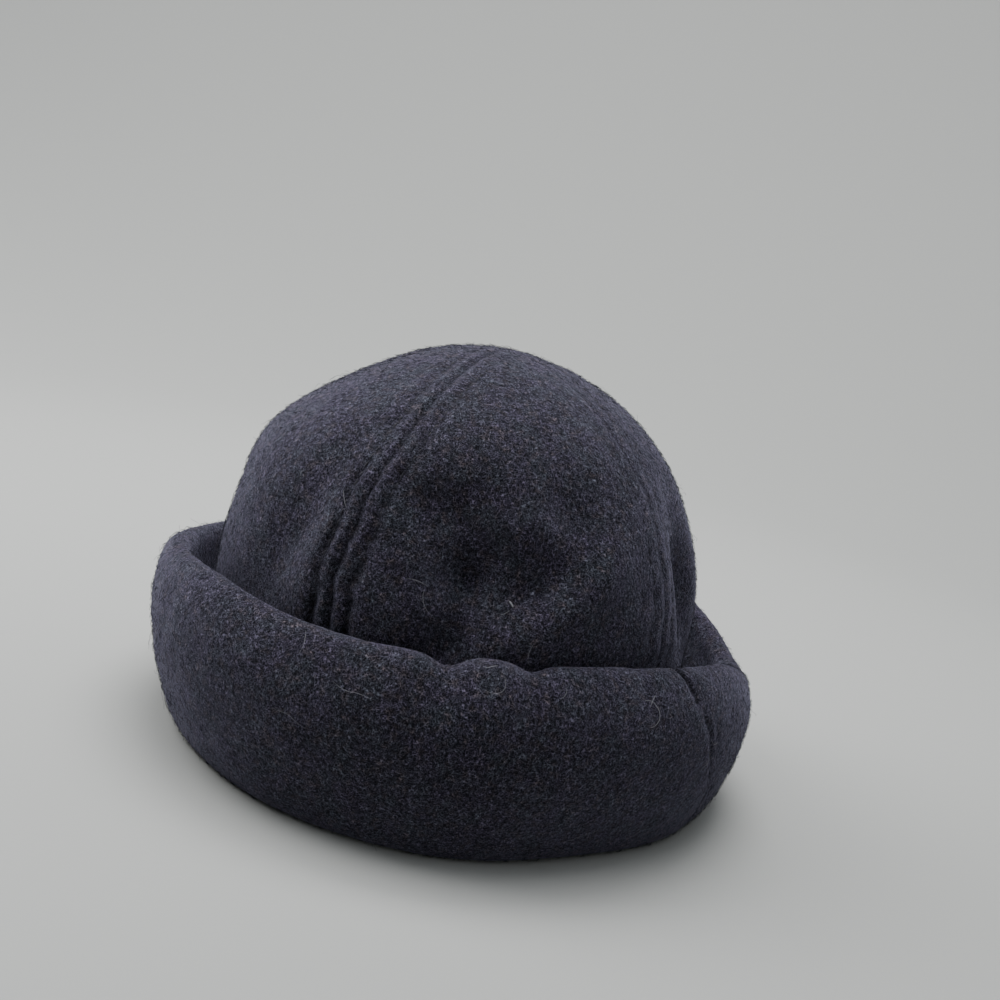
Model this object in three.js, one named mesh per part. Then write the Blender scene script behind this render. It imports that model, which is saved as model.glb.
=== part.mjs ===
import * as THREE from 'three';

// A wool beanie with a deep turned-up cuff, sewn from five crown panels and a doubled cuff band. Lengths
// are in millimetres and +Z is up. The cuff rests on z = 0. Turns are in degrees round the hat, from the
// front seam at -Y towards +X.
const clothThickness = 3;
const pieceGap = 0.3;

// Crown: a round wall with a dome on it. The panels stop at a small tip radius, where they all meet.
const crownRadius = 95;
const wallHeight = 66;
const domeHeight = 98;
const tipRadius = 1.2;
const bandJoinHeight = 16;

// Crown seams, pressed open, with a row of topstitching on each side
const ditchDepth = 1.5;
const ditchWidth = 1.5;
const stitchOffset = 7;
const stitchDepth = 1;
const stitchWidth = 1.4;
const seamFadeRadius = 14;

// Cuff. The bends are the inside radii of its folds: along the rolled edge, and where it turns up.
const cuffHeight = 66;
const grooveReach = 20;
const footWidth = 8;
const footCorner = 7;
const rollBend = 2.5;
const turnUpBend = 2;
const crownClearance = 1.2;
const hemHeight = 11;
const cuffSeamTurn = 81;
const cuffSeamColumns = 1.3;

// Steps of the meshes
const wallSteps = 4;
const domeSteps = 16;
const middleColumns = 4;
const cuffColumns = 60;
const cuffSteps = { innerWall: 1, turnUp: 3, foot: 1, outerWall: 6, roll: 5, facing: 2 };

// Crown seams at even turns. Bow is how many degrees the cloth has drawn a seam round at middle height.
const seams = [
  { name: 'front', bow: -3 },
  { name: 'right', bow: 5 },
  { name: 'back right', bow: 1 },
  { name: 'back left', bow: -1 },
  { name: 'left', bow: 1 },
];

// Dents of the crown, and swellings where the depth is below zero. Height and up are shares of the
// crown's height, across and slant are degrees, and depth is a share of the crown's radius.
const crownDents = [
  { name: 'front hollow', turn: 25, height: 0.69, across: 9, up: 0.075, slant: 0, depth: 0.065 },
  { name: 'pit below it', turn: 25, height: 0.57, across: 7, up: 0.07, slant: 1, depth: 0.085 },
  { name: 'crease down to the cuff', turn: 22.5, height: 0.46, across: 4, up: 0.06, slant: 1, depth: 0.055 },
  { name: 'slanting fold', turn: 40, height: 0.575, across: 4.5, up: 0.1, slant: 9, depth: -0.04 },
  { name: 'puff above the fold', turn: 40, height: 0.69, across: 5, up: 0.04, slant: 0, depth: -0.03 },
  { name: 'hollow between them', turn: 37, height: 0.62, across: 4, up: 0.035, slant: 2, depth: 0.03 },
  { name: 'dimple right of the puff', turn: 49, height: 0.74, across: 5, up: 0.04, slant: 0, depth: 0.025 },
  { name: 'trough by the right seam', turn: 89, height: 0.61, across: 5, up: 0.1, slant: 0, depth: 0.035 },
  { name: 'trough by the front seam', turn: -23, height: 0.58, across: 6, up: 0.12, slant: 0, depth: 0.025 },
  { name: 'left shoulder', turn: -55, height: 0.7, across: 28, up: 0.08, slant: 0, depth: -0.035 },
  { name: 'flat above the shoulder', turn: -60, height: 0.9, across: 40, up: 0.06, slant: 0, depth: 0.02 },
  { name: 'right shoulder', turn: 100, height: 0.84, across: 28, up: 0.1, slant: 0, depth: -0.018 },
  { name: 'right wall', turn: 108, height: 0.5, across: 24, up: 0.12, slant: 0, depth: -0.02 },
  { name: 'back hollow', turn: 195, height: 0.6, across: 14, up: 0.1, slant: 4, depth: 0.04 },
];

// The cuff's section at even turns. Height is a share of the cuff's height, ridge is how far the rolled
// edge stands off the crown as a share of the groove's reach, lean is how many degrees the wall tips
// outwards under that edge, and foot is a share of the foot's width.
const cuffRows = [
  { turn: 0, height: 1.065, ridge: 0.09, lean: -18, foot: 0.13 },
  { turn: 30, height: 1.1, ridge: 0.04, lean: -22, foot: 0.2 },
  { turn: 60, height: 1.12, ridge: 0.12, lean: -22, foot: 0.12 },
  { turn: 90, height: 1.05, ridge: 0.55, lean: -18, foot: 1.45 },
  { turn: 120, height: 0.83, ridge: 1.01, lean: -12, foot: 2.35 },
  { turn: 150, height: 1.04, ridge: 1.02, lean: -8, foot: 1.7 },
  { turn: 180, height: 0.95, ridge: 0.87, lean: -6, foot: 1.5 },
  { turn: 210, height: 0.91, ridge: 0.62, lean: -5, foot: 1.2 },
  { turn: 240, height: 0.93, ridge: 0.47, lean: -5, foot: 0.9 },
  { turn: 270, height: 0.94, ridge: 0.44, lean: -5, foot: 0.62 },
  { turn: 300, height: 1.01, ridge: 0.48, lean: -6, foot: 0.33 },
  { turn: 330, height: 1.09, ridge: 0.3, lean: -11, foot: 0.13 },
];

// Dips of the cuff's rolled edge: across is in degrees, and depth is a share of the cuff's height
const edgeDips = [
  { name: 'notch at the crease', turn: 22, across: 3, depth: 0.03 },
  { name: 'notch right of it', turn: 40, across: 3, depth: 0.02 },
];

// How far the outer wall and the cuff's facing are drawn along their ends' directions, as a share of
// their height
const wallPull = 0.4;

const { clamp, degToRad, euclideanModulo, lerp, radToDeg, smoothstep } = THREE.MathUtils;
const crownHeight = wallHeight + domeHeight;
const panelTurn = 360 / seams.length;
const rowTurn = 360 / cuffRows.length;

const fallOff = (x) => Math.exp(-0.5 * x * x);
const turnBetween = (a, b) => euclideanModulo(a - b + 180, 360) - 180;
const at = (radius, z) => new THREE.Vector2(radius, z);
const placed = (turn, { x, y }) =>
  new THREE.Vector3(x * Math.sin(degToRad(turn)), -x * Math.cos(degToRad(turn)), y);

// A wall between two equal grids of points, closed at its edges. The columns run counterclockwise, and a
// ring's last column joins its first.
function wallBetween(outside, inside, isRing) {
  const columns = outside[0].length;
  const rows = outside.length;
  const out = (i, j) => i * columns + (j % columns);
  const inn = (i, j) => out(i, j) + rows * columns;
  const faces = [];
  const quad = (a, b, c, d) => faces.push(a, b, c, a, c, d);
  const top = rows - 1;
  const end = isRing ? columns : columns - 1;
  for (let i = 0; i < top; i++) {
    for (let j = 0; j < end; j++) {
      quad(out(i, j), out(i, j + 1), out(i + 1, j + 1), out(i + 1, j));
      quad(inn(i, j), inn(i + 1, j), inn(i + 1, j + 1), inn(i, j + 1));
    }
  }
  for (let j = 0; j < end; j++) {
    quad(out(0, j + 1), out(0, j), inn(0, j), inn(0, j + 1));
    quad(out(top, j), out(top, j + 1), inn(top, j + 1), inn(top, j));
  }
  for (let i = 0; i < top && !isRing; i++) {
    quad(out(i, 0), out(i + 1, 0), inn(i + 1, 0), inn(i, 0));
    quad(out(i + 1, end), out(i, end), inn(i, end), inn(i + 1, end));
  }
  const geometry = new THREE.BufferGeometry().setFromPoints([...outside.flat(), ...inside.flat()]);
  geometry.setIndex(faces);
  geometry.computeVertexNormals();
  return geometry;
}

// The turn of a crown seam at a height
function seamTurn(index, z) {
  const rise = clamp((z - bandJoinHeight) / (crownHeight - bandJoinHeight), 0, 1);
  return index * panelTurn + seams[index % seams.length].bow * Math.sin(Math.PI * rise) ** 2;
}

// How far dents and seams sink the crown at a turn, at a level of its profile
function crownDepth(turn, level) {
  let dents = 0;
  for (const dent of crownDents) {
    const up = (level.z / crownHeight - dent.height) / dent.up;
    const across = turnBetween(turn, dent.turn + dent.slant * up) / dent.across;
    dents += dent.depth * crownRadius * fallOff(up) * fallOff(across);
  }
  const offSeams = seams.map((_, k) => Math.abs(turnBetween(turn, seamTurn(k, level.z))));
  const fromSeam = level.radius * Math.sin(degToRad(Math.min(...offSeams)));
  const ditch = ditchDepth * fallOff(fromSeam / ditchWidth);
  const stitches = stitchDepth * fallOff((fromSeam - stitchOffset) / stitchWidth);
  return dents + (ditch + stitches) * smoothstep(level.radius, seamFadeRadius, 2 * seamFadeRadius);
}

// Levels of the crown's profile, up its wall and over its dome, each with its outward normal
function crownLevels() {
  const levels = [];
  for (let i = 0; i < wallSteps; i++) {
    const z = lerp(bandJoinHeight, wallHeight, i / wallSteps);
    levels.push({ radius: crownRadius, z, normal: at(1, 0) });
  }
  const tipRise = Math.acos(tipRadius / crownRadius);
  for (let i = 0; i <= domeSteps; i++) {
    const rise = (tipRise * i) / domeSteps;
    levels.push({
      radius: crownRadius * Math.cos(rise),
      z: wallHeight + domeHeight * Math.sin(rise),
      normal: at(Math.cos(rise) / crownRadius, Math.sin(rise) / domeHeight).normalize(),
    });
  }
  return levels;
}

// Turns of a panel's columns at a level: close together beside its seams, and then even
function panelTurns(index, { radius, z }) {
  const start = seamTurn(index, z);
  const end = seamTurn(index + 1, z);
  const halfTurn = (end - start) / 2 - radToDeg(Math.asin(pieceGap / 2 / radius));
  const besideSeam = [0, 0.5, 1, 1.5].map((share) => share * stitchOffset);
  const columnsPerHalf = besideSeam.length - 1 + middleColumns;
  const fromEdge = besideSeam.map((distance, k) =>
    Math.min(radToDeg(distance / radius), (halfTurn * k) / columnsPerHalf));
  const lastBeside = fromEdge.at(-1);
  for (let k = 1; k <= middleColumns; k++) {
    fromEdge.push(lerp(lastBeside, halfTurn, k / middleColumns));
  }
  const middle = (start + end) / 2;
  const left = fromEdge.map((turn) => middle - halfTurn + turn);
  const right = fromEdge.slice(0, -1).reverse().map((turn) => middle + halfTurn - turn);
  return [...left, ...right];
}

function crownPanel(index) {
  const outside = [];
  const inside = [];
  for (const level of crownLevels()) {
    const turns = panelTurns(index, level);
    const sunk = (turn, extra) => {
      const point = at(level.radius, level.z).addScaledVector(level.normal, -crownDepth(turn, level) - extra);
      return placed(turn, point);
    };
    outside.push(turns.map((turn) => sunk(turn, 0)));
    inside.push(turns.map((turn) => sunk(turn, clothThickness)));
  }
  return wallBetween(outside, inside, false);
}

// A column of the cuff's table at any turn, on a smooth closed curve through its rows
function cuffValue(column, turn) {
  const place = euclideanModulo(turn, 360) / rowTurn;
  const first = Math.floor(place);
  const rows = [-1, 0, 1, 2].map((k) => cuffRows[euclideanModulo(first + k, cuffRows.length)]);
  const curve = new THREE.CatmullRomCurve3(rows.map((row, k) => new THREE.Vector3(k, row[column], 0)));
  curve.curveType = 'catmullrom';
  return curve.getPoint((1 + place - first) / (rows.length - 1)).y;
}

// The middle of the cuff band's cloth at a turn: down inside the crown's edge, out along the foot, up the
// outer wall, over the rolled edge, and down again as its facing to a hem beside the crown
function cuffStretches(turn) {
  const half = clothThickness / 2;
  const dip = edgeDips.reduce((sum, d) => sum + d.depth * fallOff(turnBetween(turn, d.turn) / d.across), 0);
  const roll = rollBend + half;
  const rollMiddle = crownRadius + crownClearance + rollBend + clothThickness
    + grooveReach * cuffValue('ridge', turn);
  const rollHeight = cuffHeight * (cuffValue('height', turn) - dip) - rollBend - clothThickness;
  const lean = degToRad(cuffValue('lean', turn));
  const turnUp = turnUpBend + half;
  const turnUpHeight = turnUpBend + clothThickness;
  const innerWall = crownRadius - half;
  const footStart = innerWall + turnUp;
  const footEnd = footStart + footWidth * cuffValue('foot', turn);
  const corner = at(footEnd + footCorner, half);
  const wallTop = at(rollMiddle + roll * Math.cos(lean), rollHeight - roll * Math.sin(lean));
  const wallRise = at(Math.sin(lean), Math.cos(lean)).multiplyScalar(wallPull * cuffHeight);
  const facingTop = at(rollMiddle - roll, rollHeight);
  const hem = at(crownRadius + crownClearance + half, hemHeight);
  const facingDrop = at(0, wallPull * (rollHeight - hemHeight));
  const bend = (...points) => new THREE.CubicBezierCurve(...points);
  const arc = (x, y, radius, from, to) => new THREE.EllipseCurve(x, y, radius, radius, from, to);
  return {
    innerWall: new THREE.LineCurve(at(innerWall, bandJoinHeight - pieceGap), at(innerWall, turnUpHeight)),
    turnUp: arc(footStart, turnUpHeight, turnUp, Math.PI, 1.5 * Math.PI),
    foot: new THREE.LineCurve(at(footStart, half), at(footEnd, half)),
    outerWall: bend(at(footEnd, half), corner, wallTop.clone().sub(wallRise), wallTop),
    roll: arc(rollMiddle, rollHeight, roll, -lean, Math.PI),
    facing: bend(facingTop, facingTop.clone().sub(facingDrop), hem.clone().add(facingDrop), hem),
  };
}

// The cuff's section at a turn as two rows of points, on its outside and inside. The band's own seam runs
// up the outer wall and over the edge as a ditch.
function cuffSection(turn) {
  const section = { outside: [], inside: [] };
  const sewn = ['outerWall', 'roll', 'facing'];
  for (const [name, curve] of Object.entries(cuffStretches(turn))) {
    const steps = cuffSteps[name];
    for (let k = section.outside.length ? 1 : 0; k <= steps; k++) {
      const point = curve.getPoint(k / steps);
      const along = curve.getTangent(k / steps);
      const across = at(along.y, -along.x);
      const fromSeam = point.x * Math.sin(degToRad(turnBetween(turn, cuffSeamTurn)));
      const ditch = sewn.includes(name) ? ditchDepth * fallOff(fromSeam / ditchWidth) : 0;
      const half = clothThickness / 2;
      section.outside.push(placed(turn, point.clone().addScaledVector(across, half - ditch)));
      section.inside.push(placed(turn, point.clone().addScaledVector(across, -half - ditch)));
    }
  }
  return section;
}

function cuffBand() {
  const turns = Array.from({ length: cuffColumns }, (_, k) => (360 * k) / cuffColumns);
  turns.push(cuffSeamTurn - cuffSeamColumns, cuffSeamTurn, cuffSeamTurn + cuffSeamColumns);
  turns.sort((a, b) => a - b);
  const sections = turns.map(cuffSection);
  const rowsOf = (side) => sections[0][side].map((_, i) => sections.map((section) => section[side][i]));
  return wallBetween(rowsOf('outside'), rowsOf('inside'), true);
}

function cloth(name, geometry, color) {
  const mesh = new THREE.Mesh(geometry, new THREE.MeshStandardMaterial({ color, roughness: 0.95 }));
  mesh.name = name;
  return mesh;
}

const beanie = new THREE.Group();
seams.forEach((_, k) => beanie.add(cloth(`crown_panel_${k + 1}`, crownPanel(k), 0x2b2b38)));
beanie.add(cloth('cuff_band', cuffBand(), 0x262631));
const middle = new THREE.Box3().setFromObject(beanie).getCenter(new THREE.Vector3());
beanie.position.set(-middle.x, -middle.y, 0);

export default beanie;
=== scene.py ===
# A navy wool beanie: five crown panels with topstitched seams, and a deep doubled cuff turned up round them.
# Lengths are in millimetres and turned into metres by mm where a mesh is made. Turns are in degrees round
# the hat, from the front seam towards +X.
import math

import bpy
import numpy as np
from mathutils import Matrix, Vector, noise
from mathutils.bvhtree import BVHTree


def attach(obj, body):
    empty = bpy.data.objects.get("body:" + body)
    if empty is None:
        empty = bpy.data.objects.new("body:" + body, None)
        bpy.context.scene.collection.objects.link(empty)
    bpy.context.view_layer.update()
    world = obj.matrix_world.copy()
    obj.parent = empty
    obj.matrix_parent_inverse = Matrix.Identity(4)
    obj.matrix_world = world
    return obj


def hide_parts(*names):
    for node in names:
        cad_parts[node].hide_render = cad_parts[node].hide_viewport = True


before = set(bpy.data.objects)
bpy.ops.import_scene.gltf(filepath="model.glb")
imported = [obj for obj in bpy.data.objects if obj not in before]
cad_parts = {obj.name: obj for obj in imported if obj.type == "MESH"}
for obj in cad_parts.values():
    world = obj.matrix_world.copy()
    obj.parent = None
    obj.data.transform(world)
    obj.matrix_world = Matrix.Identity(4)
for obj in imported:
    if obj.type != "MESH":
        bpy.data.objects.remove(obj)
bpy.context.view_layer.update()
mm = 0.001
panelNodes = sorted(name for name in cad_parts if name.startswith("crown_panel"))


def findCrownAxis():
    rings = []
    for name in panelNodes:
        places = np.array([v.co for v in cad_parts[name].data.vertices])
        rings.append(places[places[:, 2] < places[:, 2].min() + 0.1 * mm])
    return np.concatenate(rings)[:, :2].mean(0) / mm


axisX, axisY = findCrownAxis()
print("frame loaded, crown axis at", round(axisX, 2), round(axisY, 2))


def placed(turn, radius, z):
    angle = np.radians(turn)
    x = axisX + radius * np.sin(angle)
    y = axisY - radius * np.cos(angle)
    return np.stack([x, y, z + 0 * x], -1) * mm


def fallOff(x):
    return np.exp(-0.5 * x * x)


def turnBetween(a, b):
    return (a - b + 180) % 360 - 180


def smoothStep(x, low, high):
    t = np.clip((x - low) / (high - low), 0, 1)
    return t * t * (3 - 2 * t)


def lumps(points, waves):
    total = np.zeros(points.shape[:-1])
    flat = points.reshape(-1, 3)
    for wave in waves:
        scale = 1 / (wave["length"] * mm)
        values = [noise.noise(Vector(p) * scale + Vector(wave["shift"])) for p in flat]
        total += wave["height"] * np.array(values).reshape(total.shape)
    return total


def intoScene(name, data):
    item = bpy.data.objects.new(name, data)
    bpy.context.scene.collection.objects.link(item)
    return item


def clothMesh(name, outside, inside, masks, isRing):
    rows, columns = outside.shape[:2]
    count = rows * columns
    grid = np.arange(count).reshape(rows, columns)
    if isRing:
        grid = np.concatenate([grid, grid[:, :1]], 1)
    a, b, c, d = grid[:-1, :-1], grid[:-1, 1:], grid[1:, 1:], grid[1:, :-1]
    faces = [np.stack([a, b, c, d], -1).reshape(-1, 4)]
    faces.append(np.stack([a, d, c, b], -1).reshape(-1, 4) + count)
    low, high = grid[0], grid[-1]
    faces.append(np.stack([low[1:], low[:-1], low[:-1] + count, low[1:] + count], -1))
    faces.append(np.stack([high[:-1], high[1:], high[1:] + count, high[:-1] + count], -1))
    if not isRing:
        first, last = grid[:, 0], grid[:, -1]
        faces.append(np.stack([first[:-1], first[1:], first[1:] + count, first[:-1] + count], -1))
        faces.append(np.stack([last[1:], last[:-1], last[:-1] + count, last[1:] + count], -1))
    mesh = bpy.data.meshes.new(name)
    points = np.concatenate([outside.reshape(-1, 3), inside.reshape(-1, 3)])
    mesh.from_pydata(points.tolist(), [], np.concatenate(faces).tolist())
    for key, values in masks.items():
        mask = mesh.attributes.new(key, "FLOAT", "POINT")
        mask.data.foreach_set("value", np.concatenate([values.ravel(), np.zeros(count)]).astype(np.float32))
    mesh.shade_smooth()
    mesh.set_sharp_from_angle(angle=math.radians(50))
    piece = intoScene(name, mesh)
    return piece


# Crown. Bow is how many degrees a seam is drawn round at middle height.
crown = {
    "radius": 95, "wallHeight": 66, "domeHeight": 98, "joinHeight": 16, "tipRadius": 0.8,
    "cloth": 3, "gap": 0.15, "rowStep": 1.15, "besideStep": 0.6, "besideReach": 12, "middleColumns": 66,
    "bows": [-3, 5, 1, -1, 1],
    "waves": [
        {"length": 26, "height": 0.45, "shift": (3, 1, 4)},
        {"length": 9, "height": 0.22, "shift": (1, 5, 9)},
        {"length": 3.2, "height": 0.1, "shift": (2, 6, 5)},
    ],
    "napFrom": 26, "napFull": 32,
}
crownHeight = crown["wallHeight"] + crown["domeHeight"]

# Seams, from the front one round to the right: the ditch, a sewn groove on each side with its needle dimples,
# and padded ridges between them. All of it wanders and puckers along the seam. The ditch and the grooves fade
# towards the top, to shares of their depth.
seam = {
    "strength": [1.0, 0.36, 0.8, 0.8, 0.75], "ditchDepth": 1.0, "ditchWidth": 1.1, "ditchTop": 0.7,
    "stitchOffset": 7, "stitchDepth": 0.85, "stitchWidth": 1.6, "dimpleDepth": 0.3, "grooveTop": 0.5,
    "stitchPitch": 3.7, "ridgeHeight": 0.25, "ridgeWidth": 1.7, "shoulderHeight": 0.2,
    "fadeFrom": 5, "fadeTo": 16, "topFrom": 0.5, "topTo": 0.78,
    "wobble": [{"length": 31, "turn": 0.4, "start": 0.0}, {"length": 13, "turn": 0.22, "start": 2.0}],
    "wander": [{"length": 17, "height": 0.9, "shift": (4, 4, 2)},
               {"length": 5, "height": 0.5, "shift": (1, 7, 2)}],
    "pucker": [{"length": 7, "height": 1.1, "shift": (9, 1, 3)}],
}

# Dents, and swellings where depth is below zero. Height and up are shares of the crown's height, across and
# slant are degrees, depth is a share of its radius.
crownDents = [
    {"turn": 30, "height": 0.645, "across": 13, "up": 0.08, "slant": 0, "depth": 0.065},  # broad front hollow
    {"turn": 16, "height": 0.705, "across": 6, "up": 0.04, "slant": 0, "depth": 0.045},  # its upper left
    {"turn": 24, "height": 0.575, "across": 5, "up": 0.05, "slant": 0, "depth": 0.1},  # pit
    {"turn": 23, "height": 0.44, "across": 4, "up": 0.06, "slant": 1, "depth": 0.09},  # crease to the cuff
    {"turn": 51, "height": 0.575, "across": 6, "up": 0.1, "slant": 10, "depth": -0.055},  # slanting fold
    {"turn": 37, "height": 0.69, "across": 6, "up": 0.045, "slant": 0, "depth": -0.035},  # puff in the hollow
    {"turn": 40, "height": 0.575, "across": 4, "up": 0.045, "slant": 3, "depth": 0.04},  # under the puff
    {"turn": 48, "height": 0.735, "across": 4.5, "up": 0.035, "slant": 0, "depth": 0.025},  # right dimple
    {"turn": 94, "height": 0.56, "across": 5.5, "up": 0.1, "slant": -2, "depth": 0.1},  # by the right seam
    {"turn": -18.5, "height": 0.56, "across": 5.5, "up": 0.12, "slant": 3, "depth": 0.035},  # left of seam
    {"turn": -9, "height": 0.56, "across": 4, "up": 0.12, "slant": 2, "depth": -0.014},  # fold beside it
    {"turn": -55, "height": 0.7, "across": 28, "up": 0.08, "slant": 0, "depth": -0.035},  # left shoulder
    {"turn": -60, "height": 0.9, "across": 40, "up": 0.06, "slant": 0, "depth": 0.02},  # flat above it
    {"turn": 100, "height": 0.84, "across": 28, "up": 0.1, "slant": 0, "depth": -0.018},  # right shoulder
    {"turn": 108, "height": 0.5, "across": 24, "up": 0.12, "slant": 0, "depth": -0.02},  # right wall
    {"turn": 195, "height": 0.6, "across": 14, "up": 0.1, "slant": 4, "depth": 0.04},  # back hollow
]


# Painted shade: where the crown's foot is darkened in its colour above the cuff's rim, in the gap behind the
# cuff
footShades = [
    {"turn": -48, "across": 26, "low": -3, "high": 11, "share": 0.55},
    {"turn": 94, "across": 11, "low": 4, "high": 36, "share": 0.6},
]


def footShade(turn, z):
    aboveRim = z - cuff["height"] * cuffValue("height", turn)
    shades = [s["share"] * fallOff(turnBetween(turn, s["turn"]) / s["across"])
              * (1 - smoothStep(aboveRim, s["low"], s["high"])) for s in footShades]
    return sum(shades)


def seamTurn(index, z):
    count = len(crown["bows"])
    rise = np.clip((z - crown["joinHeight"]) / (crownHeight - crown["joinHeight"]), 0, 1)
    bow = crown["bows"][index % count] * np.sin(np.pi * rise) ** 2
    wobble = sum(w["turn"] * np.sin(2 * np.pi * z / w["length"] + w["start"] + index % count)
                 for w in seam["wobble"])
    return index * 360 / count + bow + wobble * np.sin(np.pi * rise)


def crownLevels():
    wallRows = round((crown["wallHeight"] - crown["joinHeight"]) / crown["rowStep"])
    domeLength = math.pi / 4 * (crown["radius"] + crown["domeHeight"])
    domeRows = round(domeLength / crown["rowStep"])
    rise = np.linspace(0, math.acos(crown["tipRadius"] / crown["radius"]), domeRows + 1)
    wallZ = np.linspace(crown["joinHeight"], crown["wallHeight"], wallRows + 1)[:-1]
    radius = np.concatenate([np.full(wallRows, crown["radius"]), crown["radius"] * np.cos(rise)])
    z = np.concatenate([wallZ, crown["wallHeight"] + crown["domeHeight"] * np.sin(rise)])
    normal = np.stack([np.cos(rise) / crown["radius"], np.sin(rise) / crown["domeHeight"]], -1)
    normal /= np.linalg.norm(normal, axis=1, keepdims=True)
    normal = np.concatenate([np.tile([[1.0, 0.0]], (wallRows, 1)), normal])
    return radius, z, normal


def levelAt(z):
    up = np.clip((z - crown["wallHeight"]) / crown["domeHeight"], 0, 1)
    radius = crown["radius"] * np.sqrt(1 - up * up)
    normal = np.stack([radius / crown["radius"] ** 2, up / crown["domeHeight"]], -1)
    return radius, normal / np.linalg.norm(normal, axis=-1, keepdims=True)


def dentDepth(turn, z):
    depth = 0 * turn
    for dent in crownDents:
        up = (z / crownHeight - dent["height"]) / dent["up"]
        across = turnBetween(turn, dent["turn"] + dent["slant"] * up) / dent["across"]
        depth += dent["depth"] * crown["radius"] * fallOff(up) * fallOff(across)
    return depth


def seamDepth(turn, radius, z):
    offSeams = np.abs([turnBetween(turn, seamTurn(k, z)) for k in range(len(crown["bows"]))])
    strength = np.array(seam["strength"])[offSeams.argmin(0)]
    high = smoothStep(z / crownHeight, seam["topFrom"], seam["topTo"])
    ditchShare, grooveShare = (1 - (1 - seam[key]) * high for key in ("ditchTop", "grooveTop"))
    here = placed(turn, radius, z)
    pucker = 1 + lumps(here, seam["pucker"])
    fromSeam = np.maximum(radius * np.sin(np.radians(offSeams.min(0))), 0)
    fromStitches = fromSeam + lumps(here, seam["wander"]) - seam["stitchOffset"]
    needle = 0.5 + 0.5 * np.cos(2 * math.pi * z / seam["stitchPitch"])
    ditch = seam["ditchDepth"] * fallOff(fromSeam / seam["ditchWidth"])
    sewnIn = seam["stitchDepth"] * pucker + seam["dimpleDepth"] * needle
    groove = sewnIn * fallOff(fromStitches / seam["stitchWidth"])
    ridge = seam["ridgeHeight"] * pucker * fallOff((fromSeam - seam["stitchOffset"] / 2) / seam["ridgeWidth"])
    shoulder = seam["shoulderHeight"] * fallOff((fromSeam - 1.5 * seam["stitchOffset"]) / 2)
    fade = smoothStep(radius, seam["fadeFrom"], seam["fadeTo"])
    return (ditch * ditchShare + (groove - ridge - shoulder) * grooveShare) * strength * fade


def panelTurns(index, radius, z):
    start, end = seamTurn(index, z), seamTurn(index + 1, z)
    halfTurn = (end - start) / 2 - np.degrees(np.arcsin(crown["gap"] / 2 / radius))
    beside = np.arange(0, crown["besideReach"] + 0.01, crown["besideStep"])
    perHalf = len(beside) - 1 + crown["middleColumns"] // 2
    share = np.arange(len(beside)) / perHalf
    fromEdge = np.minimum(np.degrees(beside / radius[:, None]), halfTurn[:, None] * share)
    middle = np.linspace(0, 1, crown["middleColumns"] // 2 + 1)[1:]
    rest = fromEdge[:, -1:] + (halfTurn[:, None] - fromEdge[:, -1:]) * middle
    half = np.concatenate([fromEdge, rest], 1)
    centre = ((start + end) / 2)[:, None]
    left = centre - halfTurn[:, None] + half
    right = centre + halfTurn[:, None] - half[:, -2::-1]
    return np.concatenate([left, right], 1)


def crownPanel(index):
    radius, z, normal = crownLevels()
    turn = panelTurns(index, radius, z)
    levelRadius = radius[:, None] + 0 * turn
    levelZ = z[:, None] + 0 * turn
    sewn = seamDepth(turn, levelRadius, levelZ)
    depth = dentDepth(turn, levelZ) + sewn
    soft = lumps(placed(turn, levelRadius, levelZ), crown["waves"])
    def skin(sunk):
        return placed(turn, levelRadius - sunk * normal[:, :1], levelZ - sunk * normal[:, 1:])
    fur = smoothStep(levelZ, crown["napFrom"], crown["napFull"])
    # Painted shade: the sunk mask darkens the colour in the seam grooves and at the crown's foot above the
    # cuff's rim
    masks = {"napHere": fur, "sunk": np.clip(sewn + footShade(turn, levelZ), 0, 1)}
    outside, inside = skin(depth - soft), skin(depth + crown["cloth"])
    return clothMesh(f"crown_cloth_{index + 1}", outside, inside, masks, False)


# Cuff. The bends are the inside radii of its folds.
cuff = {
    "height": 66, "reach": 20, "footWidth": 8, "footCorner": 7, "rollBend": 2.5, "turnUpBend": 2,
    "clearance": 1.2, "hemHeight": 11, "bandGap": 0.3, "napOnFacing": 1.3, "wallPull": 0.4, "columns": 440,
    "fineColumns": 90, "fineTurns": (68, 96), "facingShade": 1.25, "wavesFrom": 12,
    "shoulder": {"turn": 25, "across": 60, "reach": 22, "depth": 3.4, "belly": 2.7},
    "rows": {"innerWall": 4, "turnUp": 6, "foot": 3, "outerWall": 44, "roll": 12, "facing": 22},
    "waves": [
        {"length": 30, "height": 0.7, "shift": (7, 2, 1)},
        {"length": 11, "height": 0.4, "shift": (8, 2, 8)},
        {"length": 4, "height": 0.14, "shift": (4, 5, 9)},
    ],
}

# The cuff's section at even turns: height as a share of the cuff's height, ridge as a share of its reach off
# the crown, lean in degrees, foot as a share of the foot's width
cuffRows = [
    {"height": 1.04, "ridge": 0.09, "lean": -18, "foot": 0.13},  # front seam
    {"height": 1.078, "ridge": 0.04, "lean": -22, "foot": 0.2},
    {"height": 1.1, "ridge": 0.12, "lean": -22, "foot": 0.12},
    {"height": 1.05, "ridge": 0.55, "lean": -18, "foot": 1.45},  # right
    {"height": 0.83, "ridge": 1.01, "lean": -12, "foot": 2.35},
    {"height": 1.04, "ridge": 1.02, "lean": -8, "foot": 1.7},
    {"height": 0.95, "ridge": 0.87, "lean": -6, "foot": 1.5},  # back
    {"height": 0.91, "ridge": 0.62, "lean": -5, "foot": 1.2},
    {"height": 0.93, "ridge": 0.47, "lean": -5, "foot": 0.9},
    {"height": 0.94, "ridge": 0.44, "lean": -5, "foot": 0.62},  # left
    {"height": 1.01, "ridge": 0.48, "lean": -6, "foot": 0.33},
    {"height": 1.078, "ridge": 0.3, "lean": -11, "foot": 0.13},
]
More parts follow.
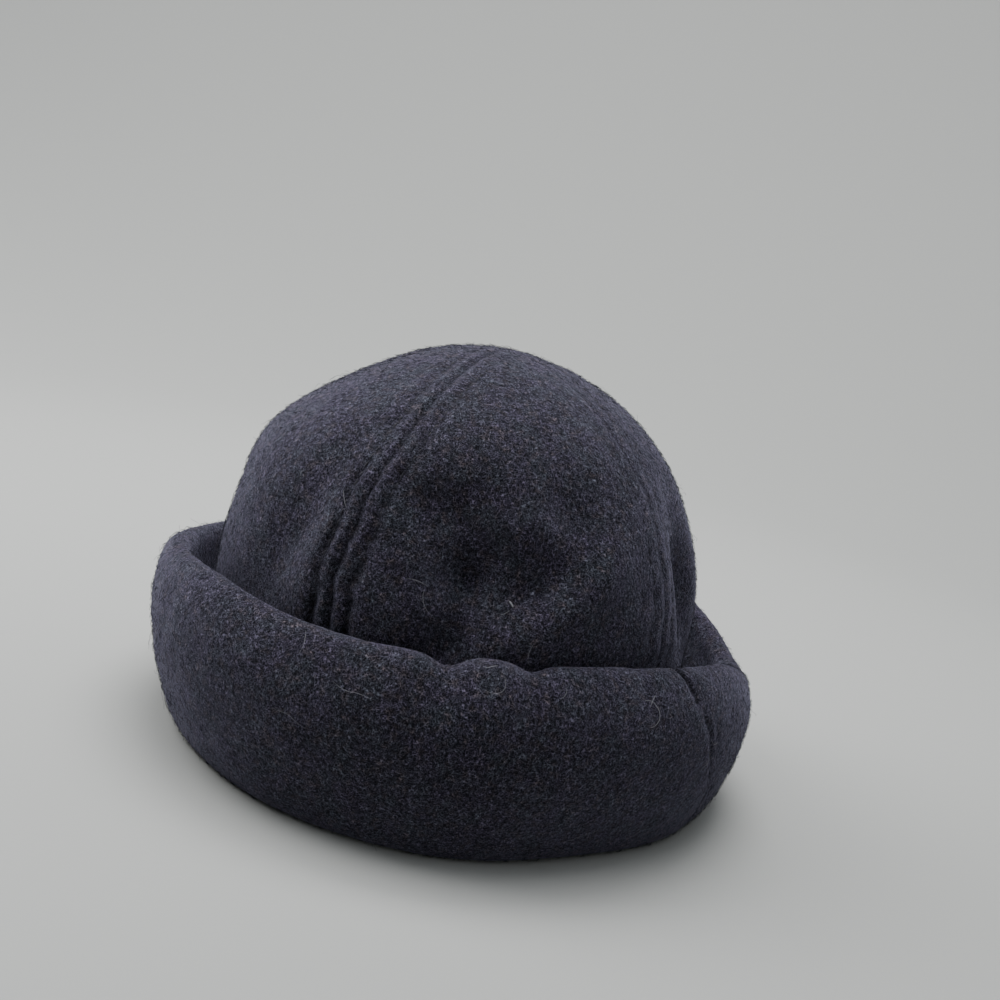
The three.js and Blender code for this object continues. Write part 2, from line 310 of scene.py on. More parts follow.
edgeDips = [
    {"turn": 24, "across": 2.4, "depth": 0.055},  # notch at the crease
    {"turn": 32, "across": 3.5, "depth": -0.015},  # hump beside it
    {"turn": 40.5, "across": 2.2, "depth": 0.04},  # notch right of it
]

# The band's own seam slants over the cuff: its turn at heights up the outer wall, and a crease beside it
cuffSeam = {
    "heights": [8, 22, 40, 52, 63, 73], "turns": [90, 88, 82, 79.6, 75.5, 73.4],
    "reach": 30, "depth": 1.15, "width": 0.8, "lowShare": 0.6, "lowFrom": 20, "lowTo": 55,
    "creaseOffset": 4.5, "creaseDepth": 0.35, "creaseWidth": 1.6,
    "wander": [{"length": 9, "height": 1.0, "shift": (6, 2, 2)}],
    "pucker": [{"length": 8, "height": 1.3, "shift": (2, 8, 1)}],
}


def cuffValue(column, turn):
    values = np.array([row[column] for row in cuffRows])
    place = (turn % 360) * len(values) / 360
    first = np.floor(place).astype(int)
    t = place - first
    p, q, r, s = (values[(first + k) % len(values)] for k in (-1, 0, 1, 2))
    return q + 0.5 * t * (r - p + t * (2 * p - 5 * q + 4 * r - s + t * (3 * q - p - 3 * r + s)))


def line(a, b, share):
    along = b - a
    return a + along * share, along + 0 * share


def bend(a, b, c, d, share):
    rest = 1 - share
    point = a * rest**3 + 3 * b * rest**2 * share + 3 * c * rest * share**2 + d * share**3
    along = (b - a) * rest**2 + 2 * (c - b) * rest * share + (d - c) * share**2
    return point, along


def arc(middle, radius, start, end, share):
    angle = start + (end - start) * share
    facing = np.concatenate([np.cos(angle), np.sin(angle)], -1)
    way = np.sign(end - start)
    return middle + radius * facing, way * np.concatenate([-facing[..., 1:], facing[..., :1]], -1)


def cuffStretches(turn):
    half = crown["cloth"] / 2
    def at(radius, z):
        return np.stack([radius + 0 * turn, z + 0 * turn], -1)
    dip = sum(d["depth"] * fallOff(turnBetween(turn, d["turn"]) / d["across"]) for d in edgeDips)
    roll = cuff["rollBend"] + half
    ridge = cuff["reach"] * cuffValue("ridge", turn)
    rollMiddle = crown["radius"] + cuff["clearance"] + cuff["rollBend"] + crown["cloth"] + ridge
    rollHeight = cuff["height"] * (cuffValue("height", turn) - dip) - cuff["rollBend"] - crown["cloth"]
    lean = np.radians(cuffValue("lean", turn))
    turnUp = cuff["turnUpBend"] + half
    turnUpHeight = cuff["turnUpBend"] + crown["cloth"]
    innerWall = crown["radius"] - half
    bandTop = crown["joinHeight"] - cuff["bandGap"]
    footStart = innerWall + turnUp
    footEnd = footStart + cuff["footWidth"] * cuffValue("foot", turn)
    wallTop = at(rollMiddle + roll * np.cos(lean), rollHeight - roll * np.sin(lean))
    wallRise = at(np.sin(lean), np.cos(lean)) * cuff["wallPull"] * cuff["height"]
    facingTop = at(rollMiddle - roll, rollHeight)
    hem = at(crown["radius"] + cuff["clearance"] + half, cuff["hemHeight"])
    drop = at(0, cuff["wallPull"] * (rollHeight - cuff["hemHeight"]))
    corner = at(footEnd + cuff["footCorner"], half)
    return {
        "innerWall": lambda s: line(at(innerWall, bandTop), at(innerWall, turnUpHeight), s),
        "turnUp": lambda s: arc(at(footStart, turnUpHeight), turnUp, math.pi, 1.5 * math.pi, s),
        "foot": lambda s: line(at(footStart, half), at(footEnd, half), s),
        "outerWall": lambda s: bend(at(footEnd, half), corner, wallTop - wallRise, wallTop, s),
        "roll": lambda s: arc(at(rollMiddle, rollHeight), roll, -lean[:, None], math.pi, s),
        "facing": lambda s: bend(facingTop, facingTop - drop, hem + drop, hem, s),
    }


# Rows of the cuff's middle surface and of its directions, and where the nap shows
def cuffRowsOf(turn):
    points, across, fur, sewn = [], [], [], []
    for name, stretch in cuffStretches(turn).items():
        steps = cuff["rows"][name]
        for k in range(1 if points else 0, steps + 1):
            share = np.full((len(turn), 1), k / steps)
            point, along = stretch(share)
            along = along / np.linalg.norm(along, axis=-1, keepdims=True)
            points.append(point)
            across.append(np.stack([along[:, 1], -along[:, 0]], -1))
            onFacing = max(0, 1 - cuff["napOnFacing"] * k / steps)
            fur.append({"outerWall": 1, "roll": 1, "facing": onFacing}.get(name, 0))
            sewn.append(1 if name in ("outerWall", "roll", "facing") else 0)
    return np.array(points), np.array(across), np.array(fur), np.array(sewn)


def cuffWalls():
    walls = []
    for name, steps in cuff["rows"].items():
        for k in range(1 if walls else 0, steps + 1):
            rollShare = 1 + min(0, math.cos(math.pi * k / steps))
            walls.append({"outerWall": 1, "roll": rollShare}.get(name, 0))
    return np.array(walls)


def cuffDitch(turn, points, sewn):
    z = points[..., 1]
    seamAt = np.interp(z, cuffSeam["heights"], cuffSeam["turns"])
    here = placed(turn + 0 * z, points[..., 0], z)
    offSeam = turnBetween(turn, seamAt)
    fromSeam = points[..., 0] * np.sin(np.radians(offSeam)) + lumps(here, cuffSeam["wander"])
    near = np.abs(offSeam) < cuffSeam["reach"]
    pucker = 1 + lumps(here, cuffSeam["pucker"])
    rise = smoothStep(z, cuffSeam["lowFrom"], cuffSeam["lowTo"])
    share = cuffSeam["lowShare"] + (1 - cuffSeam["lowShare"]) * rise
    ditch = cuffSeam["depth"] * pucker * fallOff(fromSeam / cuffSeam["width"])
    offCrease = (fromSeam - cuffSeam["creaseOffset"]) / cuffSeam["creaseWidth"]
    return (ditch + cuffSeam["creaseDepth"] * pucker * fallOff(offCrease)) * share * near * sewn[:, None]


# How far the outer wall leans in at its top and swells out below, so that the fold is rounder outside
def cuffShoulder(turn, points, walls):
    shape = cuff["shoulder"]
    below = points[..., 1].max(0) - points[..., 1]
    near = fallOff(turnBetween(turn, shape["turn"]) / shape["across"])
    slope = (1 - np.clip(below / shape["reach"], 0, 1)) ** 2
    swelling = shape["belly"] * (1 - slope) * smoothStep(points[..., 1], 0, cuff["height"] - shape["reach"])
    return (shape["depth"] * slope - swelling) * near * walls[:, None]


def cuffBand():
    low, high = cuff["fineTurns"]
    turn = np.concatenate([
        np.linspace(low, high, cuff["fineColumns"], endpoint=False),
        np.linspace(high, low + 360, cuff["columns"], endpoint=False),
    ])
    points, across, fur, sewn = cuffRowsOf(turn)
    ditch = cuffDitch(turn, points, sewn)
    points[..., 0] -= cuffShoulder(turn, points, cuffWalls())
    half = crown["cloth"] / 2
    middle = placed(turn[None, :], points[..., 0], points[..., 1])
    wavy = np.clip(points[..., 1] / cuff["wavesFrom"], 0, 1) * (fur[:, None] > 0)
    soft = lumps(middle, cuff["waves"]) * wavy
    def skin(out):
        moved = points + across * out[..., None]
        return placed(turn[None, :], moved[..., 0], moved[..., 1])
    # Painted shade: the sunk mask darkens the colour in the cuff's seam ditch, and on the facing and the band
    # inside, down in the gap between cuff and crown
    gapPaintedShade = smoothStep(1 - fur, 0, 0.5) * cuff["facingShade"] * (cuffWalls() == 0)
    masks = {"napHere": fur[:, None] + 0 * ditch, "sunk": np.clip(ditch, 0, 1) + gapPaintedShade[:, None]}
    return clothMesh("cuff_cloth", skin(half - ditch + soft), skin(-half - ditch), masks, True)


panels = [crownPanel(k) for k in range(len(crown["bows"]))]
print("crown panels made:", len(panels))
cuffCloth = cuffBand()
print("cuff made:", len(cuffCloth.data.polygons), "faces")


# Small helpers for node trees
def addNode(tree, kind, values=None, **settings):
    node = tree.nodes.new(kind)
    for key, value in settings.items():
        setattr(node, key, value)
    for key, value in (values or {}).items():
        if isinstance(value, bpy.types.NodeSocket):
            tree.links.new(value, node.inputs[key])
        else:
            node.inputs[key].default_value = value
    return node


def maths(tree, operation, first, second):
    return addNode(tree, "ShaderNodeMath", {0: first, 1: second}, operation=operation).outputs[0]


def newTree(name, kind, given, made):
    tree = bpy.data.node_groups.new(name, kind)
    for inOrOut, sockets in (("INPUT", given), ("OUTPUT", made)):
        for label, socketType, value in sockets:
            socket = tree.interface.new_socket(label, in_out=inOrOut, socket_type="NodeSocket" + socketType)
            if value is not None:
                socket.default_value = value
    return tree, tree.nodes.new("NodeGroupInput"), tree.nodes.new("NodeGroupOutput")


def noiseAt(tree, place, scale, detail):
    return addNode(tree, "ShaderNodeTexNoise", {"Vector": place, "Scale": scale, "Detail": detail})


# A push by a noise's colour, as long as amount says
def pushBy(tree, swirl, amount):
    centred = addNode(tree, "ShaderNodeVectorMath", {0: swirl.outputs["Color"], 1: (0.5, 0.5, 0.5)},
                      operation="SUBTRACT")
    return addNode(tree, "ShaderNodeVectorMath", {0: centred.outputs[0], "Scale": amount},
                   operation="SCALE").outputs[0]


def vectorOf(tree, **parts):
    return addNode(tree, "ShaderNodeCombineXYZ", parts).outputs[0]


def tubeOf(tree, curve, share, thickness, sides):
    shaped = addNode(tree, "GeometryNodeSetCurveRadius", {"Curve": curve, "Radius": share})
    radius = maths(tree, "MULTIPLY", thickness, 0.5)
    ring = addNode(tree, "GeometryNodeCurvePrimitiveCircle", {"Resolution": sides, "Radius": radius})
    return addNode(tree, "GeometryNodeCurveToMesh", {
        "Curve": shaped.outputs[0], "Profile Curve": ring.outputs[0], "Fill Caps": True}).outputs[0]


def finishTree(tree, outputs, geometry, material):
    real = addNode(tree, "GeometryNodeRealizeInstances", {"Geometry": geometry})
    dyed = addNode(tree, "GeometryNodeSetMaterial", {"Geometry": real.outputs[0], "Material": material})
    tree.links.new(dyed.outputs[0], outputs.inputs[0])
    return tree


# Scale and shift of each layer of fibres
feltLayers = [(1.0, 0.0), (0.7, 0.37), (1.35, 0.71)]


# Felted wool: curled fibres along the middle lines of three noises, each fibre of its own brightness, and the
# clumps that they lie in
def makeFeltedWool():
    tree, inputs, outputs = newTree("feltedWool", "ShaderNodeTree", [
        ("Vector", "Vector", None), ("Fibres per metre", "Float", 500.0), ("Fibre width", "Float", 0.05),
        ("Curl", "Float", 0.0004),
    ], [("Fibres", "Float", None), ("Clumps", "Float", None)])
    given = inputs.outputs
    swirl = noiseAt(tree, given["Vector"], given["Fibres per metre"], 0.0)
    push = pushBy(tree, swirl, given["Curl"])
    bent = addNode(tree, "ShaderNodeVectorMath", {0: given["Vector"], 1: push}, operation="ADD")
    fibres = None
    for ratio, shift in feltLayers:
        scale = maths(tree, "MULTIPLY", given["Fibres per metre"], ratio)
        moved = addNode(tree, "ShaderNodeVectorMath", {0: bent.outputs[0], 1: (shift, -shift, 2 * shift)},
                        operation="ADD")
        wave = noiseAt(tree, moved.outputs[0], scale, 0.0)
        offMiddle = maths(tree, "SUBTRACT", wave.outputs[0], 0.5)
        distance = addNode(tree, "ShaderNodeMath", {0: offMiddle}, operation="ABSOLUTE")
        line = addNode(tree, "ShaderNodeMapRange", {
            "Value": distance.outputs[0], "From Max": given["Fibre width"], "To Min": 1.0, "To Max": 0.0},
            interpolation_type="SMOOTHSTEP")
        tone = addNode(tree, "ShaderNodeMapRange", {
            "Value": wave.outputs["Color"], "From Min": 0.3, "From Max": 0.65})
        toned = maths(tree, "MULTIPLY", line.outputs[0], tone.outputs[0])
        if fibres:
            toned = maths(tree, "MAXIMUM", fibres, toned)
        fibres = toned
    clumpScale = maths(tree, "MULTIPLY", given["Fibres per metre"], 0.6)
    clumps = noiseAt(tree, bent.outputs[0], clumpScale, 1.0)
    tree.links.new(fibres, outputs.inputs["Fibres"])
    tree.links.new(clumps.outputs[0], outputs.inputs["Clumps"])
    return tree


feltedWool = makeFeltedWool()

cloth = {
    "deep": (0.0038, 0.0033, 0.0057, 1), "worn": (0.0068, 0.0060, 0.0100, 1),
    "teal": (0.0035, 0.0050, 0.0070, 1),
    "purpleFibre": (0.225, 0.192, 0.295, 1), "tealFibre": (0.190, 0.205, 0.258, 1),
    "warmFibre": (0.230, 0.186, 0.205, 1), "fibreShare": 0.9, "hueScale": 120.0, "warmScale": 330.0,
    "fibresPerMetre": 1200.0, "fibreWidth": 0.042, "curl": 0.0005,
    "patchScale": 38.0, "patchRange": (0.35, 0.65),
    "tealScale": 62.0, "tealRange": (0.5, 0.7), "tealMost": 0.7,
    "hueRange": (0.38, 0.62), "warmRange": (0.5, 0.7), "clumpRange": (0.32, 0.62), "clumpFibres": (0.4, 0.6),
    "gapShade": (0.25, 0.25, 0.25, 1), "clumpShade": (1.5, 1.5, 1.5, 1),
    # painted shade: the colour and share that the sunk mask darkens the cloth towards
    "paintedShadeColour": (0, 0, 0, 1), "paintedShadeAmount": 0.7,
    "roughness": 0.95, "sheen": 0.3, "sheenRoughness": 0.42, "sheenTint": (0.62, 0.60, 0.85, 1),
    "specular": 0.08, "bumpDistance": 0.2 * mm, "bumpStrength": 0.8,
}


def newMaterial(name, values):
    material = bpy.data.materials.new(name)
    material.use_nodes = True
    shader = material.node_tree.nodes["Principled BSDF"]
    for key, value in values.items():
        shader.inputs[key].default_value = value
    return material, material.node_tree, shader


def mixColour(tree, share, first, second, blend="MIX"):
    node = addNode(tree, "ShaderNodeMix", data_type="RGBA", blend_type=blend)
    for key, value in ((0, share), (6, first), (7, second)):
        if isinstance(value, bpy.types.NodeSocket):
            tree.links.new(value, node.inputs[key])
        else:
            node.inputs[key].default_value = value
    return node.outputs[2]


# Where a value lies between two others, as a share that ends at most
def shareBetween(tree, value, ends, most=1.0):
    node = addNode(tree, "ShaderNodeMapRange", {
        "Value": value, "From Min": ends[0], "From Max": ends[1], "To Max": most})
    return node.outputs[0]


def makeMelton():
    material, tree, shader = newMaterial("navyMelton", {
        "Roughness": cloth["roughness"], "Sheen Weight": cloth["sheen"],
        "Sheen Roughness": cloth["sheenRoughness"],
        "Sheen Tint": cloth["sheenTint"], "Specular IOR Level": cloth["specular"],
    })
    place = addNode(tree, "ShaderNodeTexCoord").outputs["Object"]
    patches = noiseAt(tree, place, cloth["patchScale"], 3.0)
    teal = noiseAt(tree, place, cloth["tealScale"], 2.0)
    felt = addNode(tree, "ShaderNodeGroup", node_tree=feltedWool)
    tree.links.new(place, felt.inputs["Vector"])
    felt.inputs["Fibres per metre"].default_value = cloth["fibresPerMetre"]
    felt.inputs["Fibre width"].default_value = cloth["fibreWidth"]
    felt.inputs["Curl"].default_value = cloth["curl"]
    patchShare = shareBetween(tree, patches.outputs[0], cloth["patchRange"])
    tealShare = shareBetween(tree, teal.outputs[0], cloth["tealRange"], cloth["tealMost"])
    ground = mixColour(tree, patchShare, cloth["deep"], cloth["worn"])
    tinted = mixColour(tree, tealShare, ground, cloth["teal"])
    clumpShare = shareBetween(tree, felt.outputs["Clumps"], cloth["clumpRange"])
    shade = mixColour(tree, clumpShare, cloth["gapShade"], cloth["clumpShade"])
    clumped = mixColour(tree, 1.0, tinted, shade, "MULTIPLY")
    warm = noiseAt(tree, place, cloth["warmScale"], 1.0)
    warmShare = shareBetween(tree, warm.outputs[0], cloth["warmRange"])
    hue = noiseAt(tree, place, cloth["hueScale"], 2.0)
    hueShare = shareBetween(tree, hue.outputs[0], cloth["hueRange"])
    cool = mixColour(tree, hueShare, cloth["purpleFibre"], cloth["tealFibre"])
    fibreColour = mixColour(tree, warmShare, cool, cloth["warmFibre"])
    fewest, more = cloth["clumpFibres"]
    raised = addNode(tree, "ShaderNodeMath", {0: clumpShare, 1: more, 2: fewest}, operation="MULTIPLY_ADD")
    share = maths(tree, "MULTIPLY", felt.outputs["Fibres"], raised.outputs[0])
    fibreShare = maths(tree, "MULTIPLY", share, cloth["fibreShare"])
    felted = mixColour(tree, fibreShare, clumped, fibreColour)
    # Painted shade: the sunk mask mixes the colour towards black in the seam grooves, inside the cuff's gap
    # and at the crown's foot
    sunk = addNode(tree, "ShaderNodeAttribute", attribute_name="sunk")
    paintedShadeShare = maths(tree, "MULTIPLY", sunk.outputs["Fac"], cloth["paintedShadeAmount"])
    shaded = mixColour(tree, paintedShadeShare, felted, cloth["paintedShadeColour"])
    tree.links.new(shaded, shader.inputs["Base Color"])
    height = maths(tree, "ADD", share, clumpShare)
    bump = addNode(tree, "ShaderNodeBump", {
        "Strength": cloth["bumpStrength"], "Distance": cloth["bumpDistance"], "Height": height})
    tree.links.new(bump.outputs[0], shader.inputs["Normal"])
    return material


melton = makeMelton()
for piece in [*panels, cuffCloth]:
    piece.data.materials.append(melton)

# Nap: short curled fibres. Lengths are in metres in the tree.
nap = {
    "panelFibres": 5700, "cuffFibres": 8700, "length": 2.1 * mm, "thickness": 0.12 * mm, "lift": 0.5 * mm,
    "curl": 1.5 * mm, "curlScale": 700.0, "steps": 2,
}
strays = {
    "panelFibres": 90, "cuffFibres": 300, "length": 6 * mm, "thickness": 0.09 * mm, "lift": 1.5 * mm,
    "curl": 5 * mm, "curlScale": 260.0, "steps": 6,
}
fibreForm = {"rootDepth": -0.3, "scales": (0.55, 1.35), "tipThickness": 0.35}  # shares of a fibre's own sizes


def makeFibreTree():
    tree, inputs, outputs = newTree("woolFibres", "GeometryNodeTree", [
        ("Geometry", "Geometry", None), ("Density", "Float", 1.0), ("Length", "Float", 1.0),
        ("Thickness", "Float", 1.0), ("Lift", "Float", 1.0), ("Curl", "Float", 1.0),
        ("Curl scale", "Float", 1.0), ("Steps", "Int", 2), ("Floor", "Float", 0.0), ("Seed", "Int", 1),
        ("Material", "Material", None),
    ], [("Geometry", "Geometry", None)])
    tree.is_modifier = True
    given = inputs.outputs
    here = addNode(tree, "GeometryNodeInputNamedAttribute", {"Name": "napHere"}, data_type="FLOAT")
    density = maths(tree, "MULTIPLY", here.outputs[0], given["Density"])
    roots = addNode(tree, "GeometryNodeDistributePointsOnFaces", {
        "Mesh": given["Geometry"], "Density": density, "Seed": given["Seed"]}, distribute_method="RANDOM")
    spin = addNode(tree, "FunctionNodeRandomValue", {"Seed": given["Seed"]}, data_type="FLOAT")
    spin.inputs[2].default_value, spin.inputs[3].default_value = 0, 2 * math.pi
    turned = addNode(tree, "FunctionNodeAxisAngleToRotation", {"Axis": (0, 0, 1), "Angle": spin.outputs[1]})
    facing = addNode(tree, "FunctionNodeRotateRotation", {
        "Rotation": roots.outputs["Rotation"], "Rotate By": turned.outputs[0]}, rotation_space="LOCAL")
    half = maths(tree, "MULTIPLY", given["Length"], 0.5)
    sunk = maths(tree, "MULTIPLY", given["Lift"], fibreForm["rootDepth"])
    fibre = addNode(tree, "GeometryNodeCurveQuadraticBezier", {
        "Resolution": given["Steps"], "Start": vectorOf(tree, Z=sunk),
        "Middle": vectorOf(tree, X=half, Z=given["Lift"]),
        "End": vectorOf(tree, X=given["Length"], Z=given["Lift"])})
    size = addNode(tree, "FunctionNodeRandomValue", {"Seed": given["Seed"]}, data_type="FLOAT")
    size.inputs[2].default_value, size.inputs[3].default_value = fibreForm["scales"]
    grown = addNode(tree, "GeometryNodeInstanceOnPoints", {
        "Points": roots.outputs["Points"], "Instance": fibre.outputs[0], "Rotation": facing.outputs[0],
        "Scale": size.outputs[1]})
    apart = addNode(tree, "GeometryNodeRealizeInstances", {"Geometry": grown.outputs[0]})
    swirl = addNode(tree, "ShaderNodeTexNoise", {"Scale": given["Curl scale"], "Detail": 1.0})
    along = addNode(tree, "GeometryNodeSplineParameter")
    loose = maths(tree, "MULTIPLY", along.outputs["Factor"], given["Curl"])
    curled = addNode(tree, "GeometryNodeSetPosition",
                     {"Geometry": apart.outputs[0], "Offset": pushBy(tree, swirl, loose)})
    spot = addNode(tree, "ShaderNodeSeparateXYZ", {0: addNode(tree, "GeometryNodeInputPosition").outputs[0]})
    above = maths(tree, "MAXIMUM", spot.outputs["Z"], given["Floor"])
    lifted = vectorOf(tree, X=spot.outputs["X"], Y=spot.outputs["Y"], Z=above)
    resting = addNode(tree, "GeometryNodeSetPosition",
                      {"Geometry": curled.outputs[0], "Position": lifted})
    tone = addNode(tree, "FunctionNodeRandomValue", {"Seed": given["Seed"]}, data_type="FLOAT")
    toned = addNode(tree, "GeometryNodeStoreNamedAttribute", {
        "Geometry": resting.outputs[0], "Name": "fibreTone", "Value": tone.outputs[1]}, data_type="FLOAT",
        domain="CURVE")
    taper = addNode(tree, "ShaderNodeMapRange", {
        "Value": along.outputs["Factor"], "To Min": 1.0, "To Max": fibreForm["tipThickness"]})
    solid = tubeOf(tree, toned.outputs[0], taper.outputs[0], given["Thickness"], 3)
    return finishTree(tree, outputs, solid, given["Material"])


fibreTree = makeFibreTree()


# The evaluated result of a tree on a carrier object, as a plain mesh of its own
def grownOn(carrier, name, tree, values):
    modifier = carrier.modifiers.new("grow", "NODES")
    modifier.node_group = tree
    for item in tree.interface.items_tree:
        if item.in_out == "INPUT" and item.name in values:
            modifier[item.identifier] = values[item.name]
    depsgraph = bpy.context.evaluated_depsgraph_get()
    mesh = bpy.data.meshes.new_from_object(carrier.evaluated_get(depsgraph))
    carrier.modifiers.remove(modifier)
    mesh.name = name
    piece = intoScene(name, mesh)
    return piece


# The area that the nap grows on, in square metres
def napArea(piece):
    mesh = piece.data
    here = np.zeros(len(mesh.vertices))
    mesh.attributes["napHere"].data.foreach_get("value", here)
    areas = np.zeros(len(mesh.polygons))
    mesh.polygons.foreach_get("area", areas)
    corners = np.zeros(4 * len(mesh.polygons), int)
    mesh.loops.foreach_get("vertex_index", corners)
    return (areas * here[corners.reshape(-1, 4)].mean(1)).sum()


def fibresOn(piece, name, sizes, count, seed, material):
    return grownOn(piece, name, fibreTree, {
        "Density": count / napArea(piece), "Length": sizes["length"], "Thickness": sizes["thickness"],
        "Lift": sizes["lift"], "Curl": sizes["curl"], "Curl scale": sizes["curlScale"],
        "Steps": sizes["steps"],
        "Floor": sizes["thickness"], "Seed": seed, "Material": material,
    })


fibre = {
    "dark": (0.008, 0.008, 0.013, 1), "pale": (0.075, 0.074, 0.098, 1), "palestFrom": 0.3, "roughness": 0.8,
    "specular": 0.1,
}


def makeFibreMaterial():
    material, tree, shader = newMaterial("woolFibre", {
        "Roughness": fibre["roughness"], "Specular IOR Level": fibre["specular"],
    })
    tone = addNode(tree, "ShaderNodeAttribute", attribute_name="fibreTone")
    spread = addNode(tree, "ShaderNodeMapRange",
                     {"Value": tone.outputs["Fac"], "From Min": fibre["palestFrom"]},
                     interpolation_type="SMOOTHSTEP")
    tree.links.new(mixColour(tree, spread.outputs[0], fibre["dark"], fibre["pale"]),
                   shader.inputs["Base Color"])
    return material


woolFibre = makeFibreMaterial()
panelNaps = [fibresOn(panel, f"crown_nap_{k + 1}", nap, nap["panelFibres"], 11 + k, woolFibre)
             for k, panel in enumerate(panels)]
cuffNaps = [fibresOn(cuffCloth, f"cuff_nap_{k + 1}", nap, nap["cuffFibres"], 31 + k, woolFibre)
            for k in range(2)]
panelStrays = [fibresOn(panel, f"crown_strays_{k + 1}", strays, strays["panelFibres"], 51 + k, woolFibre)
               for k, panel in enumerate(panels)]
cuffStrays = fibresOn(cuffCloth, "cuff_strays", strays, strays["cuffFibres"], 61, woolFibre)
allFibres = [*panelNaps, *cuffNaps, *panelStrays, cuffStrays]
print("nap made:", sum(len(p.data.polygons) for p in allFibres), "faces")

# Topstitching: a guide line along each panel's two rows, and a tree that lays stitches on it
stitch = {
    "pitch": seam["stitchPitch"] * mm, "length": 2.7 * mm, "thickness": 0.55 * mm, "dip": 0.5 * mm,
    "raise": -0.05, "lowest": 22, "highest": 158, "lineSteps": 160,
    "loopSteps": 7, "sides": 6, "endThickness": 0.35,
}
thread = {
    "colour": (0.014, 0.013, 0.021, 1), "roughness": 0.6, "specular": 0.3, "twistScale": 1800.0,
    "bumpDistance": 0.08 * mm,
}


def stitchGuide(index):
    z = np.linspace(stitch["lowest"], stitch["highest"], stitch["lineSteps"])
    radius, normal = levelAt(z)
    guide = {"points": [], "edges": [], "outward": []}
    for start, side in ((index, 1), (index + 1, -1)):
        turn = seamTurn(start, z) + side * np.degrees(np.arcsin(seam["stitchOffset"] / radius))
        out = stitch["raise"] - dentDepth(turn, z) - seamDepth(turn, radius, z)
        first = len(guide["points"])
        guide["points"] += list(placed(turn, radius + out * normal[:, 0], z + out * normal[:, 1]))
        ahead = placed(turn, radius + normal[:, 0], z + normal[:, 1])
        guide["outward"] += list((ahead - placed(turn, radius, z)) / mm)
        guide["edges"] += [(first + k, first + k + 1) for k in range(len(z) - 1)]
    mesh = bpy.data.meshes.new("stitchGuide")
    mesh.from_pydata(guide["points"], guide["edges"], [])
    outward = mesh.attributes.new("outward", "FLOAT_VECTOR", "POINT")
    outward.data.foreach_set("vector", np.array(guide["outward"], dtype=np.float32).ravel())
    carrier = intoScene("stitchGuide", mesh)
    return carrier


def makeStitchTree():
    tree, inputs, outputs = newTree("stitchRow", "GeometryNodeTree", [
        ("Geometry", "Geometry", None), ("Pitch", "Float", 1.0), ("Length", "Float", 1.0),
        ("Thickness", "Float", 1.0), ("Dip", "Float", 1.0), ("Material", "Material", None),
    ], [("Geometry", "Geometry", None)])
    tree.is_modifier = True
    given = inputs.outputs
    row = addNode(tree, "GeometryNodeMeshToCurve", {0: given["Geometry"]})
    holes = addNode(tree, "GeometryNodeResampleCurve", {"Curve": row.outputs[0], "Length": given["Pitch"]},
                    mode="LENGTH")
    tangent = addNode(tree, "GeometryNodeInputTangent")
    outward = addNode(tree, "GeometryNodeInputNamedAttribute", {"Name": "outward"}, data_type="FLOAT_VECTOR")
    along = addNode(tree, "FunctionNodeAlignRotationToVector", {"Vector": tangent.outputs[0]}, axis="X")
    facing = addNode(tree, "FunctionNodeAlignRotationToVector", {
        "Rotation": along.outputs[0], "Vector": outward.outputs[0]}, axis="Z", pivot_axis="X")
    half = maths(tree, "MULTIPLY", given["Length"], 0.5)
    back = maths(tree, "MULTIPLY", half, -1.0)
    straight = addNode(tree, "GeometryNodeCurvePrimitiveLine",
                       {"Start": vectorOf(tree, X=back), "End": vectorOf(tree, X=half)})
    pieces = addNode(tree, "GeometryNodeResampleCurve",
                     {"Curve": straight.outputs[0], "Count": stitch["loopSteps"]})
    place = addNode(tree, "GeometryNodeSplineParameter").outputs["Factor"]
    rest = maths(tree, "SUBTRACT", 1.0, place)
    arch = maths(tree, "MULTIPLY", place, rest)
    crest = maths(tree, "MULTIPLY", arch, 4.0)
    sunk = maths(tree, "SUBTRACT", 1.0, crest)
    drop = maths(tree, "MULTIPLY", sunk, given["Dip"])
    down = maths(tree, "MULTIPLY", drop, -1.0)
    bowed = addNode(tree, "GeometryNodeSetPosition",
                    {"Geometry": pieces.outputs[0], "Offset": vectorOf(tree, Z=down)})
    swell = addNode(tree, "ShaderNodeMapRange", {"Value": crest, "To Min": stitch["endThickness"]})
    loop = tubeOf(tree, bowed.outputs[0], swell.outputs[0], given["Thickness"], stitch["sides"])
    laid = addNode(tree, "GeometryNodeInstanceOnPoints", {
        "Points": holes.outputs[0], "Instance": loop, "Rotation": facing.outputs[0]})
    return finishTree(tree, outputs, laid.outputs[0], given["Material"])


def makeThreadMaterial():
    material, tree, shader = newMaterial("navyThread", {
        "Roughness": thread["roughness"], "Base Color": thread["colour"],
        "Specular IOR Level": thread["specular"]})
    place = addNode(tree, "ShaderNodeTexCoord").outputs["Object"]
    twist = noiseAt(tree, place, thread["twistScale"], 2.0)
    bump = addNode(tree, "ShaderNodeBump", {"Distance": thread["bumpDistance"], "Height": twist.outputs[0]})
    tree.links.new(bump.outputs[0], shader.inputs["Normal"])
    return material


stitchTree = makeStitchTree()
navyThread = makeThreadMaterial()


def stitchesOn(index):
    guide = stitchGuide(index)
    piece = grownOn(guide, f"crown_stitches_{index + 1}", stitchTree, {
        "Pitch": stitch["pitch"], "Length": stitch["length"], "Thickness": stitch["thickness"],
        "Dip": stitch["dip"], "Material": navyThread,
    })
    bpy.data.objects.remove(guide)
    return piece


stitches = [stitchesOn(k) for k in range(len(panels))]
print("stitches laid:", sum(len(p.data.polygons) for p in stitches), "faces")

